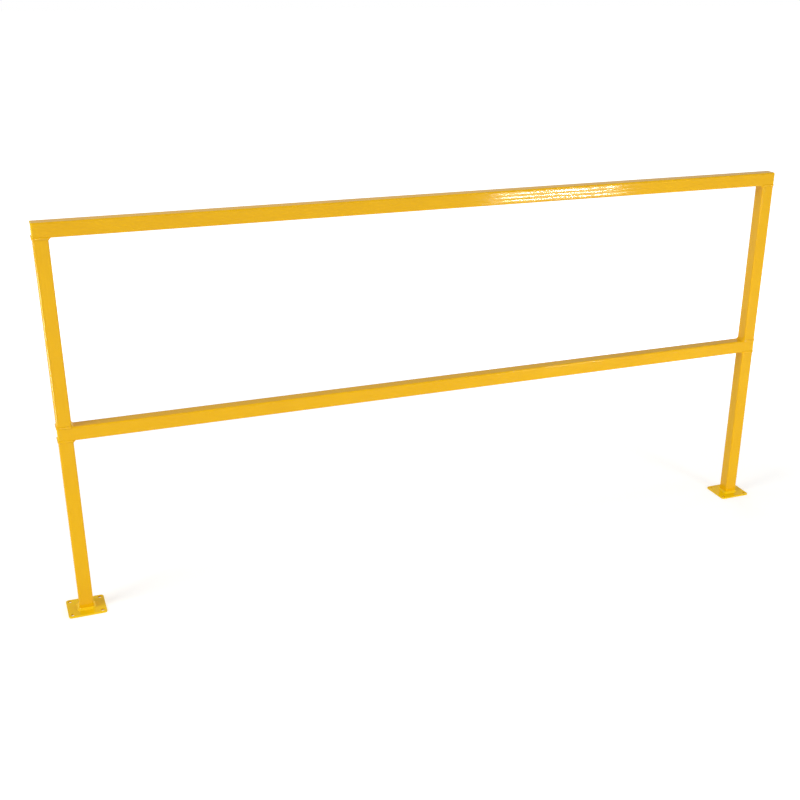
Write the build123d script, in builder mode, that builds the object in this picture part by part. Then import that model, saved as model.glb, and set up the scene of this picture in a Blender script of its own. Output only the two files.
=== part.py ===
from build123d import *
import os

# A section of industrial guard rail: two full-length rails of square steel tube, posts of the same tube
# between the rails and down to the floor, drilled floor plates, plates that close the rail ends, and the
# welds that join them. Millimetres, +Z up, +X along the rail, -Y towards the front. The origin is on the
# floor, midway between the posts.

# Overall sizes
rail_length = 2133.6  # both rails, over the plates that close their ends
rail_height = 1066.8  # floor to the top of the top rail
mid_rail_centre = 520.7  # floor to the centre line of the mid rail

# Square tube, the same for rails and posts
tube_size = 38.1
tube_wall = 3.05
tube_bend = 1.0  # radius of the inside corners
cap_thickness = 3.05  # plates that close the rail ends
cap_edge = 1.5  # bevel ground onto a closing plate's outer edge

# Floor plates
plate_length = 101.6  # along the rail
plate_width = 95.25  # across the rail
plate_thickness = 4.76
plate_corner = 8.0
plate_edge = 0.8  # bevel along the top edge
hole_size = 11.1
hole_inset = 11.1  # centre of a hole to the plate's edges

# Fillet welds, in the corners under and over the rails and round the foot of each post
fillet_leg = 6.0
fillet_hollow = 0.4  # how far the face's valley lies inside a straight line between its toes
fillet_setback = 1.5  # a corner fillet's ends to the faces of the tubes
fillet_end = 2.0  # bevel of its two ends

# Beads that carry the fillets on round the other faces of a post
bead_width = 4.8
bead_crown = 1.0  # how far a bead stands out from the faces
bead_bevel = 1.2  # bevel of its two sides, a little over the crown so that they run into the faces
bead_depth = 2.4  # how deep it fills the groove beside a rail's rounded edge

# Values that follow
tube_half = tube_size / 2
tube_radius = tube_bend + tube_wall
tube_bore = tube_size - 2 * tube_wall
post_x = rail_length / 2 - tube_half
rail_centres = {"top_rail": rail_height - tube_half, "mid_rail": mid_rail_centre}
top_rail_underside = rail_height - tube_size
mid_rail_top = mid_rail_centre + tube_half
mid_rail_underside = mid_rail_centre - tube_half
rail_tube_length = rail_length - 2 * cap_thickness
fillet_valley = fillet_leg / 2 - fillet_hollow / 2**0.5  # from each of the two legs
sides = {"left": -1, "right": 1}

os.makedirs("parts", exist_ok=True)


def save(piece, name):
    """Labels a finished piece and writes it."""
    piece.label = name
    export_step(piece, f"parts/{name}.step")


def tube(start, length):
    """A length of square tube whose centre line begins at the plane."""
    with BuildPart() as piece:
        with BuildSketch(start):
            RectangleRounded(tube_size, tube_size, tube_radius)
            RectangleRounded(tube_bore, tube_bore, tube_bend, mode=Mode.SUBTRACT)
        extrude(amount=length)
    return piece.part


def end_cap(inner_face):
    """A plate with the tube's outline that closes a rail's end, its outer edge ground to a bevel."""
    with BuildPart() as piece:
        with BuildSketch(inner_face):
            RectangleRounded(tube_size, tube_size, tube_radius)
        extrude(amount=cap_thickness)
        outer_face = piece.faces().filter_by(Axis.X).sort_by(lambda face: abs(face.center().X))[-1]
        chamfer(outer_face.edges(), cap_edge)
    return piece.part


def base_plate(x):
    """A floor plate centred under a post, with a hole near each corner for its anchors."""
    with BuildPart() as piece:
        with BuildSketch(Plane(origin=(x, 0, 0))):
            RectangleRounded(plate_length, plate_width, plate_corner)
            with GridLocations(plate_length - 2 * hole_inset, plate_width - 2 * hole_inset, 2, 2):
                Circle(hole_size / 2, mode=Mode.SUBTRACT)
        extrude(amount=plate_thickness)
        top_face = piece.faces().sort_by(Axis.Z)[-1]
        chamfer(top_face.outer_wire().edges(), plate_edge)
    return piece.part


def foot_weld(x):
    """The fillet weld all round a post's foot, laid on the floor plate."""
    floor = Plane(origin=(x, 0, plate_thickness))
    across = Plane(origin=(x, 0, plate_thickness), x_dir=(1, 0, 0), z_dir=(0, -1, 0))
    with BuildPart() as piece:
        with BuildSketch(floor) as outline:
            RectangleRounded(tube_size, tube_size, tube_radius)
        with BuildSketch(across) as section:
            with BuildLine():
                Polyline(
                    (tube_half, 0),
                    (tube_half, fillet_leg),
                    (tube_half + fillet_valley, fillet_valley),
                    (tube_half + fillet_leg, 0),
                    close=True,
                )
            make_face()
        sweep(section.sketch, path=outline.sketch.face().outer_wire())
    return piece.part


def corner_fillet(side_plane):
    """The fillet in the inside corner of a post and a rail, its root still inside both tubes.

    The plane stands in the middle of the joint, its x towards the rail's middle and its y into the rail.
    """
    toe = tube_half + fillet_leg
    root = tube_half - tube_radius
    with BuildPart() as piece:
        with BuildSketch(side_plane):
            with BuildLine():
                Polyline(
                    (toe, 0),
                    (toe, tube_radius),
                    (root, tube_radius),
                    (root, -fillet_leg),
                    (tube_half, -fillet_leg),
                    (tube_half + fillet_valley, -fillet_valley),
                    close=True,
                )
            make_face()
        extrude(amount=tube_half - fillet_setback, both=True)
        end_edges = piece.faces().filter_by(Axis.Y).edges()
        slanted = end_edges.filter_by(Axis.X, reverse=True).filter_by(Axis.Z, reverse=True)
        chamfer(slanted, fillet_end)
    return piece.part


def seam_weld(x, seam, rail_side):
    """The weld round a post's end where it meets a rail.

    A fillet fills the inside corner, and a bead runs on round the other three faces, where it fills the
    groove beside the rail's rounded edges. rail_side is 1 where the rail lies above the seam, -1 below.
    """
    inward = -1 if x > 0 else 1
    seam_plane = Plane(origin=(x, 0, seam), x_dir=(inward, 0, 0), z_dir=(0, 0, rail_side))
    side_plane = Plane(origin=(x, 0, seam), x_dir=(inward, 0, 0), z_dir=(0, -inward * rail_side, 0))
    rail_centre = (x - inward * tube_half, 0, seam + rail_side * tube_half)
    rail_end = Plane(origin=rail_centre, x_dir=(0, 1, 0), z_dir=(inward, 0, 0))
    bead_outline = tube_size + 2 * bead_crown
    # The flat across a corner that touches the middle of a round of the crown's radius
    bead_corner = (tube_radius + bead_crown) * (2 - 2**0.5)
    inside_corner = corner_fillet(side_plane)
    with BuildPart() as piece:
        # The bead, at first as a bevelled plate right across the post
        with BuildSketch(seam_plane) as bead:
            Rectangle(bead_outline, bead_outline)
            chamfer(bead.vertices(), bead_corner)
        extrude(amount=bead_width / 2, both=True)
        rims = piece.faces().filter_by(Axis.Z).edges()
        chamfer(rims, bead_bevel)
        add(inside_corner)

        # What the post and the rail take up
        with BuildSketch(seam_plane):
            RectangleRounded(tube_size, tube_size, tube_radius)
        extrude(amount=-2 * fillet_leg, mode=Mode.SUBTRACT)
        with BuildSketch(rail_end):
            RectangleRounded(tube_size, tube_size, tube_radius)
        extrude(amount=2 * tube_size, mode=Mode.SUBTRACT)

        # The root of the groove stays open
        with BuildSketch(seam_plane):
            Rectangle(tube_size, tube_size - 2 * bead_depth)
        extrude(amount=tube_radius, mode=Mode.SUBTRACT)
    return piece.part


# Rails and the plates that close their ends
for rail, centre in rail_centres.items():
    start = Plane(origin=(-rail_tube_length / 2, 0, centre), x_dir=(0, 1, 0), z_dir=(1, 0, 0))
    save(tube(start, rail_tube_length), rail)
    for side, sign in sides.items():
        tube_end = (sign * rail_tube_length / 2, 0, centre)
        inner_face = Plane(origin=tube_end, x_dir=(0, 1, 0), z_dir=(sign, 0, 0))
        save(end_cap(inner_face), f"{rail}_{side}_cap")

# Posts, floor plates and welds at each end
for side, sign in sides.items():
    x = sign * post_x
    upper_post = tube(Plane(origin=(x, 0, mid_rail_top)), top_rail_underside - mid_rail_top)
    lower_post = tube(Plane(origin=(x, 0, plate_thickness)), mid_rail_underside - plate_thickness)
    save(upper_post, f"{side}_upper_post")
    save(lower_post, f"{side}_lower_post")
    save(base_plate(x), f"{side}_base_plate")
    save(foot_weld(x), f"{side}_foot_weld")
    save(seam_weld(x, mid_rail_underside, 1), f"{side}_lower_seam_weld")
    save(seam_weld(x, mid_rail_top, -1), f"{side}_middle_seam_weld")
    save(seam_weld(x, top_rail_underside, 1), f"{side}_top_seam_weld")
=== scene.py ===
import math

import bmesh
import bpy
import numpy as np
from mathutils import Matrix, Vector


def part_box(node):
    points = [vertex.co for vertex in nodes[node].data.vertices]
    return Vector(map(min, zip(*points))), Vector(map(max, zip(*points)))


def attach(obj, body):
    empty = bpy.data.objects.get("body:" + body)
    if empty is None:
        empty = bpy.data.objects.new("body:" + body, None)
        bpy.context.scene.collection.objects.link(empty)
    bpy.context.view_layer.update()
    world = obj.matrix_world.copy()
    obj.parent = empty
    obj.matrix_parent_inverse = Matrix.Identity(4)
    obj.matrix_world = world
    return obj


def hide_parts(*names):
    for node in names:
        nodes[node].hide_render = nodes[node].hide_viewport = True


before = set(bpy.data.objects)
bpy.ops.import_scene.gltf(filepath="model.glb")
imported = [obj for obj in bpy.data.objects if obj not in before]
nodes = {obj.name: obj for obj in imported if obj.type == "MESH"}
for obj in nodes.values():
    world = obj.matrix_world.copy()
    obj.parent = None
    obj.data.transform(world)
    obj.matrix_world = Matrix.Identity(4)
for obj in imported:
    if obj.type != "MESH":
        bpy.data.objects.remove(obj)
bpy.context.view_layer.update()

# A yellow powder-coated guard rail on a pale studio floor. The tubes, plates and caps are the CAD solids
# with a full coat material. Each weld is a finer piece made from its CAD solid, with the ripples of a
# hand-laid bead. Metres, +Z up, +X along the rail, -Y towards the front.

# Camera
camera_place = (-1.1935, -2.9083, 1.6827)
camera_angles = (66.498, -0.669, -21.987)  # degrees about X, Y and Z
camera_lens = 52.148
camera_sensor = 36.0
camera_shift = (-0.0503, 0.061)  # the photograph is cropped off its lens's axis
camera_reach = 200.0  # how far it sees

# The main light, high on the left, and a small one low down before the left posts. Powers are in watts
left_box = dict(place=(-4.2, -1.0, 2.6), aim=(-0.4, 0.0, 0.4), size=(2.0, 1.6), power=80.0)
near_box = dict(place=(-2.6, -2.0, 0.3), aim=(-0.9, 0.0, 0.3), size=(0.6, 0.5), power=12.0)
# Four that light the other sides and aren't mirrored
front_box = dict(place=(0.0, -1.4, 0.15), aim=(0.0, 0.0, 0.3), size=(2.2, 0.3), power=4.0)
top_box = dict(place=(0.0, 0.2, 2.6), aim=(0.0, 0.2, 0.0), size=(2.6, 1.4), power=15.0)
back_box = dict(place=(1.3, 3.2, 0.5), aim=(0.3, 0.0, 0.6), size=(2.0, 0.5), power=50.0)
right_box = dict(place=(3.6, 0.4, 0.35), aim=(1.05, 0.0, 0.6), size=(0.8, 0.5), power=20.0)
# Only a reflection, along the edges of the left posts, in a cone that stays above the plates
edge_box = dict(place=(-1.78, -1.14, 0.33), aim=(-1.05, 0.0, 0.95), size=(1.1, 0.56), power=6.0)
edge_spread = 52.0  # degrees
# The two that the top rail mirrors: a soft one, and the bright strip before it
low_box = dict(place=(1.71, -2.62, 0.48), aim=(0.35, 0.0, 0.9), size=(0.7, 0.44), power=7.5)
strip = dict(place=(1.7, -2.6, 0.63), aim=(0.35, 0.0, 0.9), size=(0.58, 0.1), power=22.5)

# Studio
white = (1.0, 1.0, 1.0, 1.0)
sky_level = 0.3  # what the studio's walls and ceiling give the object
mirror_level = 0.5  # how bright the same walls are in the coat's gloss

# Floor. To the camera and in the gloss it glows, so that it is white where it is lit and keeps the shadow
floor_reach = 30.0
floor_colour = (0.8, 0.8, 0.79, 1.0)
floor_glow_near = 0.45
floor_glow_far = 1.0
glow_near_radius = 1.3
glow_far_radius = 3.0

# Coat colours, linear: yellow where the coat is thick, and deeper where it is thin
tube_yellow = (0.90, 0.495, 0.003, 1.0)
tube_deep = (0.86, 0.455, 0.003, 1.0)
# The plates' colours are lighter and greener than the tubes', though the real coat is one colour: painted
# light that stands in for the extra light on the plate tops and lifts the shade on the welds at the feet
plate_yellow_painted_light = (0.97, 0.635, 0.004, 1.0)
plate_deep_painted_light = (0.94, 0.59, 0.004, 1.0)
cloud_scale = 9.0  # cells of noise to a metre, as every scale here
speck_scale = 420.0
cloud_share = 0.6  # of the change in thickness, and the specks make the rest
noise_range = (0.35, 0.65)  # the values of a noise between which its effect runs from least to most

# The coat's gloss
gloss_level = 0.2
gloss_tint = (1.0, 0.97, 0.9, 1.0)
rough_range = (0.05, 0.10)
speck_range = (0.3, 0.7)  # the values of the specks between which the roughness runs

# The coat's surface: orange peel, and shallow waves across the drawn tube
peel_scale = 380.0
peel_height = 0.00003
wave_pitch = 0.0095
wave_height = 0.000065
wave_draw = 0.12  # scale along the tube of the waves' two noises, which draws them out
wave_drift = 2.5  # how far the waves wander to the side, in radians
drift_scale = 20.0
wave_fade = (0.3, 1.2)  # the height of the faintest wave and the strongest, as parts of wave_height
fade_scale = 110.0

# The welds' CAD solids
tube_radius = 0.00405
fillet_leg = 0.006
bead_half_width = 0.0024

# The finer welds
same_point = 0.000001  # points nearer than this are one
weld_voxel = 0.0004
weld_rounding = 6  # passes of smoothing
rounding_step = 0.5  # how far a pass moves a point towards the middle of its neighbours
weld_swell = 0.00012  # brings the bead's toes back onto the tubes after smoothing
rounding_error = 1e-9
fillet_start = 0.0012  # a weld that stands further out than this is a fillet
bead_spread = 1.6  # the beads run out wider and stand out further than their plain CAD solids
bead_lift = 0.0004
bead_blend = 0.004  # over which a bead turns into the fillet

# Weld ripples
ripple_pitch = 0.0019
ripple_height = 0.00030
ripple_bow = 0.0016  # how far the middle of a ripple runs ahead of its ends
ripple_power = 0.8  # under 1, which rounds the ripples and sharpens the valleys between them
drift_waves = 3  # the hand's speed drifts in waves along the weld
drift_wave_lengths = (0.025, 0.06)
drift_reach = 0.0009  # how far each wave shifts the ripples


def link(piece):
    bpy.context.scene.collection.objects.link(piece)
    return piece


def softbox(name, place, aim, size, power, spread=180.0, lit=True, mirrored=True):
    """A rectangular studio light that the camera doesn't see, and the gloss only where it is mirrored.

    One that isn't lit is a reflection alone.
    """
    light = bpy.data.lights.new(name, "AREA")
    light.shape = "RECTANGLE"
    light.size, light.size_y = size
    light.energy = power
    light.spread = math.radians(spread)
    lamp = link(bpy.data.objects.new(name, light))
    lamp.location = place
    lamp.rotation_euler = (Vector(aim) - Vector(place)).to_track_quat("-Z", "Y").to_euler()
    lamp.visible_camera = False
    lamp.visible_diffuse = lit
    lamp.visible_glossy = mirrored


class Shader:
    """A node tree with short calls to add nodes and join them."""

    def __init__(self, tree):
        self.tree = tree
        self.tree.nodes.clear()

    def node(self, kind, inputs=None, **settings):
        made = self.tree.nodes.new(kind)
        for setting, value in settings.items():
            setattr(made, setting, value)
        for socket, value in (inputs or {}).items():
            if isinstance(value, bpy.types.NodeSocket):
                self.tree.links.new(value, made.inputs[socket])
            else:
                made.inputs[socket].default_value = value
        return made

    def math(self, operation, first, second=0.0):
        return self.node("ShaderNodeMath", {0: first, 1: second}, operation=operation).outputs[0]

    def span(self, value, low, high, to_low, to_high):
        inputs = {0: value, 1: low, 2: high, 3: to_low, 4: to_high}
        return self.node("ShaderNodeMapRange", inputs, clamp=True).outputs[0]

    def noise(self, place, scale, detail):
        inputs = {"Vector": place, "Scale": scale, "Detail": detail}
        return self.node("ShaderNodeTexNoise", inputs).outputs[0]

    def bump(self, inputs):
        return self.node("ShaderNodeBump", inputs).outputs[0]


def seen_directly(shader):
    """Two values: 1 for rays from the camera, and 1 for rays from gloss or through glass."""
    path = shader.node("ShaderNodeLightPath").outputs
    mirrored = shader.math("MAXIMUM", path["Is Glossy Ray"], path["Is Transmission Ray"])
    return path["Is Camera Ray"], mirrored


# World: white to the camera, a dim studio to the gloss and to the object
world = bpy.data.worlds.new("studio")
world.use_nodes = True
bpy.context.scene.world = world
shader = Shader(world.node_tree)
camera_ray, mirror_ray = seen_directly(shader)
dim = shader.span(mirror_ray, 0.0, 1.0, sky_level, mirror_level)
strength = shader.math("MAXIMUM", dim, camera_ray)
sky = shader.node("ShaderNodeBackground", {"Color": white, "Strength": strength})
shader.node("ShaderNodeOutputWorld", {"Surface": sky.outputs[0]})

softbox("left_box", **left_box)
softbox("near_box", **near_box)
softbox("front_box", mirrored=False, **front_box)
softbox("top_box", mirrored=False, **top_box)
softbox("back_box", mirrored=False, **back_box)
softbox("right_box", mirrored=False, **right_box)
softbox("edge_box", spread=edge_spread, lit=False, **edge_box)
softbox("low_box", **low_box)
softbox("strip", **strip)

# Floor
floor_mesh = bpy.data.meshes.new("floor")
corners = [(x * floor_reach, y * floor_reach, 0.0) for x, y in ((-1, -1), (1, -1), (1, 1), (-1, 1))]
floor_mesh.from_pydata(corners, [], [(0, 1, 2, 3)])
floor = link(bpy.data.objects.new("floor", floor_mesh))
floor_material = bpy.data.materials.new("studio_floor")
floor_material.use_nodes = True
shader = Shader(floor_material.node_tree)
camera_ray, mirror_ray = seen_directly(shader)
place = shader.node("ShaderNodeTexCoord").outputs["Object"]
distance = shader.node("ShaderNodeVectorMath", {0: place}, operation="LENGTH").outputs["Value"]
glow = shader.span(distance, glow_near_radius, glow_far_radius, floor_glow_near, floor_glow_far)
glow = shader.math("MULTIPLY", glow, shader.math("MAXIMUM", camera_ray, mirror_ray))
matt = shader.node("ShaderNodeBsdfDiffuse", {"Color": floor_colour})
lit = shader.node("ShaderNodeEmission", {"Strength": glow})
both = shader.node("ShaderNodeAddShader", {0: matt.outputs[0], 1: lit.outputs[0]})
shader.node("ShaderNodeOutputMaterial", {"Surface": both.outputs[0]})
floor_mesh.materials.append(floor_material)


def powder_coat(name, full, thin_coat, across=None, stretch=None):
    """Glossy powder coat with orange peel, its colour between full and thin_coat.

    On drawn tube shallow waves lie side by side in the direction across, and stretch draws them out
    along the tube.
    """
    material = bpy.data.materials.new(name)
    material.use_nodes = True
    shader = Shader(material.node_tree)
    place = shader.node("ShaderNodeTexCoord").outputs["Object"]

    # Colour: thick and thin places in the coat, large and small
    cloud = shader.noise(place, cloud_scale, detail=3.0)
    speck = shader.noise(place, speck_scale, detail=2.0)
    large = shader.math("MULTIPLY", cloud, cloud_share)
    small = shader.math("MULTIPLY", speck, 1.0 - cloud_share)
    thin = shader.span(shader.math("ADD", large, small), *noise_range, 0.0, 1.0)
    colour = shader.node("ShaderNodeMix", {0: thin, 6: full, 7: thin_coat}, data_type="RGBA").outputs[2]

    # Surface: fine orange peel, and the drawn tube's waves, which fade in and out along it
    peel = shader.noise(place, peel_scale, detail=1.0)
    bump = shader.bump({"Height": peel, "Distance": peel_height})
    if across:
        reach = shader.node("ShaderNodeVectorMath", {0: place, 1: across}, operation="DOT_PRODUCT")
        turns = shader.math("MULTIPLY", reach.outputs["Value"], 2 * math.pi / wave_pitch)
        along = shader.node("ShaderNodeMapping", {"Vector": place, "Scale": stretch}).outputs[0]
        drift = shader.math("MULTIPLY", shader.noise(along, drift_scale, detail=1.0), wave_drift)
        fade = shader.span(shader.noise(along, fade_scale, detail=1.0), *noise_range, *wave_fade)
        wave = shader.math("SINE", shader.math("ADD", turns, drift))
        wave = shader.math("MULTIPLY", wave, fade)
        bump = shader.bump({"Height": wave, "Distance": wave_height, "Normal": bump})

    coat = {
        "Base Color": colour,
        "Roughness": shader.span(speck, *speck_range, *rough_range),
        "Specular IOR Level": gloss_level,
        "Specular Tint": gloss_tint,
        "Normal": bump,
    }
    surface = shader.node("ShaderNodeBsdfPrincipled", coat)
    shader.node("ShaderNodeOutputMaterial", {"Surface": surface.outputs[0]})
    return material


rail_coat = powder_coat("rail_coat", tube_yellow, tube_deep, across=(0, 1, 1), stretch=(wave_draw, 1, 1))
post_coat = powder_coat("post_coat", tube_yellow, tube_deep, across=(1, 1, 0), stretch=(1, 1, wave_draw))
# The plates' coat is a lighter copy of the tubes' coat: painted light
plate_coat = powder_coat("plate_coat", plate_yellow_painted_light, plate_deep_painted_light)
weld_coat = powder_coat("weld_coat", tube_yellow, tube_deep)


def coat_of(name):
    """The coat of a node. The caps and the welds at the feet share the plates' coat, whose lighter colour
    is painted light.
    """
    if name.endswith("_rail"):
        return rail_coat
    if name.endswith("_post"):
        return post_coat
    if name.endswith("_seam_weld"):
        return weld_coat
    return plate_coat


def seam_places():
    """For each weld node: the post's centre, the seam's height, and 1 or -1.

    The last is 1 where the tube or plate joined to the post lies above the seam, -1 where it lies below.
    """
    places = {}
    for side in ("left", "right"):
        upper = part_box(f"{side}_upper_post")
        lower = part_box(f"{side}_lower_post")
        centre = (upper[0].x + upper[1].x) / 2
        places[f"{side}_top_seam_weld"] = (centre, upper[1].z, 1)
        places[f"{side}_middle_seam_weld"] = (centre, upper[0].z, -1)
        places[f"{side}_lower_seam_weld"] = (centre, lower[1].z, 1)
        places[f"{side}_foot_weld"] = (centre, lower[0].z, -1)
    return places


def way_round(x, y, half, radius):
    """How far round a post's outline the nearest point lies, and how far outside the outline it is."""
    straight = half - radius
    quarter = math.pi / 2 * radius
    side_length = 2 * straight + quarter
    run = np.zeros_like(x)
    outside = np.zeros_like(x)
    # Four turned copies of one side with the corner that follows it
    for turn in range(4):
        angle = turn * math.pi / 2
        across = x * math.cos(angle) + y * math.sin(angle)
        along = -x * math.sin(angle) + y * math.cos(angle)
        on_side = (across >= np.abs(along) - rounding_error) & (np.abs(along) <= straight)
        run = np.where(on_side, turn * side_length + along + straight, run)
        outside = np.where(on_side, across - half, outside)
        corner_x = across - straight
        corner_y = along - straight
        on_corner = (corner_x > 0) & (corner_y > 0)
        bend = np.arctan2(corner_y, corner_x)
        run = np.where(on_corner, turn * side_length + 2 * straight + bend * radius, run)
        outside = np.where(on_corner, np.hypot(corner_x, corner_y) - radius, outside)
    return run, outside


def ripples(run, across, seed):
    """Height from 0 to 1 of the overlapping ripples, bowed ahead in the middle of the bead."""
    random = np.random.default_rng(seed)
    # The hand's speed drifts, so the pitch does too
    lengths = random.uniform(*drift_wave_lengths, drift_waves)
    shifts = random.uniform(0.0, 2 * math.pi, drift_waves)
    waves = [np.sin(2 * math.pi * run / length + shift) for length, shift in zip(lengths, shifts)]
    drift = sum(drift_reach * wave for wave in waves)
    phase = (run + drift - ripple_bow * across**2) / ripple_pitch
    return np.abs(np.sin(math.pi * phase)) ** ripple_power


def rippled_weld(name, centre, seam, beyond, seed):
    """Puts a finer copy in a CAD weld's place, its flats rounded and with ripples along its faces."""
    source = bmesh.new()
    source.from_mesh(nodes[name].data)
    bmesh.ops.remove_doubles(source, verts=source.verts, dist=same_point)
    mesh = bpy.data.meshes.new(name + "_bead")
    source.to_mesh(mesh)
    source.free()
    piece = link(bpy.data.objects.new(name + "_bead", mesh))
    remesh = piece.modifiers.new("remesh", "REMESH")
    remesh.mode = "VOXEL"
    remesh.voxel_size = weld_voxel
    remesh.use_smooth_shade = True
    smooth = piece.modifiers.new("smooth", "SMOOTH")
    smooth.factor = rounding_step
    smooth.iterations = weld_rounding
    fine = bpy.data.meshes.new_from_object(piece.evaluated_get(bpy.context.evaluated_depsgraph_get()))
    piece.modifiers.clear()
    piece.data = fine
    bpy.data.meshes.remove(mesh)

    count = len(fine.vertices)
    places = np.empty(count * 3)
    normals = np.empty(count * 3)
    fine.vertices.foreach_get("co", places)
    fine.vertices.foreach_get("normal", normals)
    places = places.reshape(-1, 3)
    normals = normals.reshape(-1, 3)
    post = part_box("left_upper_post")
    half = (post[1].x - post[0].x) / 2
    run, outside = way_round(places[:, 0] - centre, places[:, 1], half, tube_radius)
    height = (places[:, 2] - seam) * -beyond
    # Across the bead: -1 and 1 at its toes. A fillet spreads out on the other tube or the plate
    across = np.where(outside > fillet_start, (height - outside) / fillet_leg, height / bead_half_width)
    across = np.clip(across, -1.0, 1.0)
    strength = (1 - across**2) * np.clip(outside / fillet_start + 1.0, 0.0, 1.0)
    # The ripples rise as far above the weld's face as the valleys between them lie below it
    lift = weld_swell + ripple_height * strength * (ripples(run, across, seed) - 0.5)
    if not name.endswith("_foot_weld"):
        # The three sides with a bead, and not the inside corner with its fillet
        from_fillet = half + math.copysign(1.0, centre) * (places[:, 0] - centre)
        beaded = np.clip(from_fillet / bead_blend, 0.0, 1.0)
        lift += bead_lift * strength * beaded
        places[:, 2] += (bead_spread - 1.0) * beaded * (places[:, 2] - seam)
    places += normals * lift[:, None]
    fine.vertices.foreach_set("co", places.ravel())
    fine.update()
    fine.materials.clear()
    fine.materials.append(coat_of(name))
    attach(piece, "root")
    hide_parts(name)


for seed, (name, (centre, seam, beyond)) in enumerate(sorted(seam_places().items())):
    rippled_weld(name, centre, seam, beyond, seed)

for name, node in nodes.items():
    node.material_slots[0].material = coat_of(name)

# Camera
lens = bpy.data.cameras.new("camera")
lens.lens = camera_lens
lens.sensor_width = camera_sensor
lens.shift_x, lens.shift_y = camera_shift
lens.clip_end = camera_reach
camera = link(bpy.data.objects.new("camera", lens))
camera.location = camera_place
camera.rotation_euler = [math.radians(angle) for angle in camera_angles]
bpy.context.scene.camera = camera
bpy.context.scene.view_settings.view_transform = "Standard"
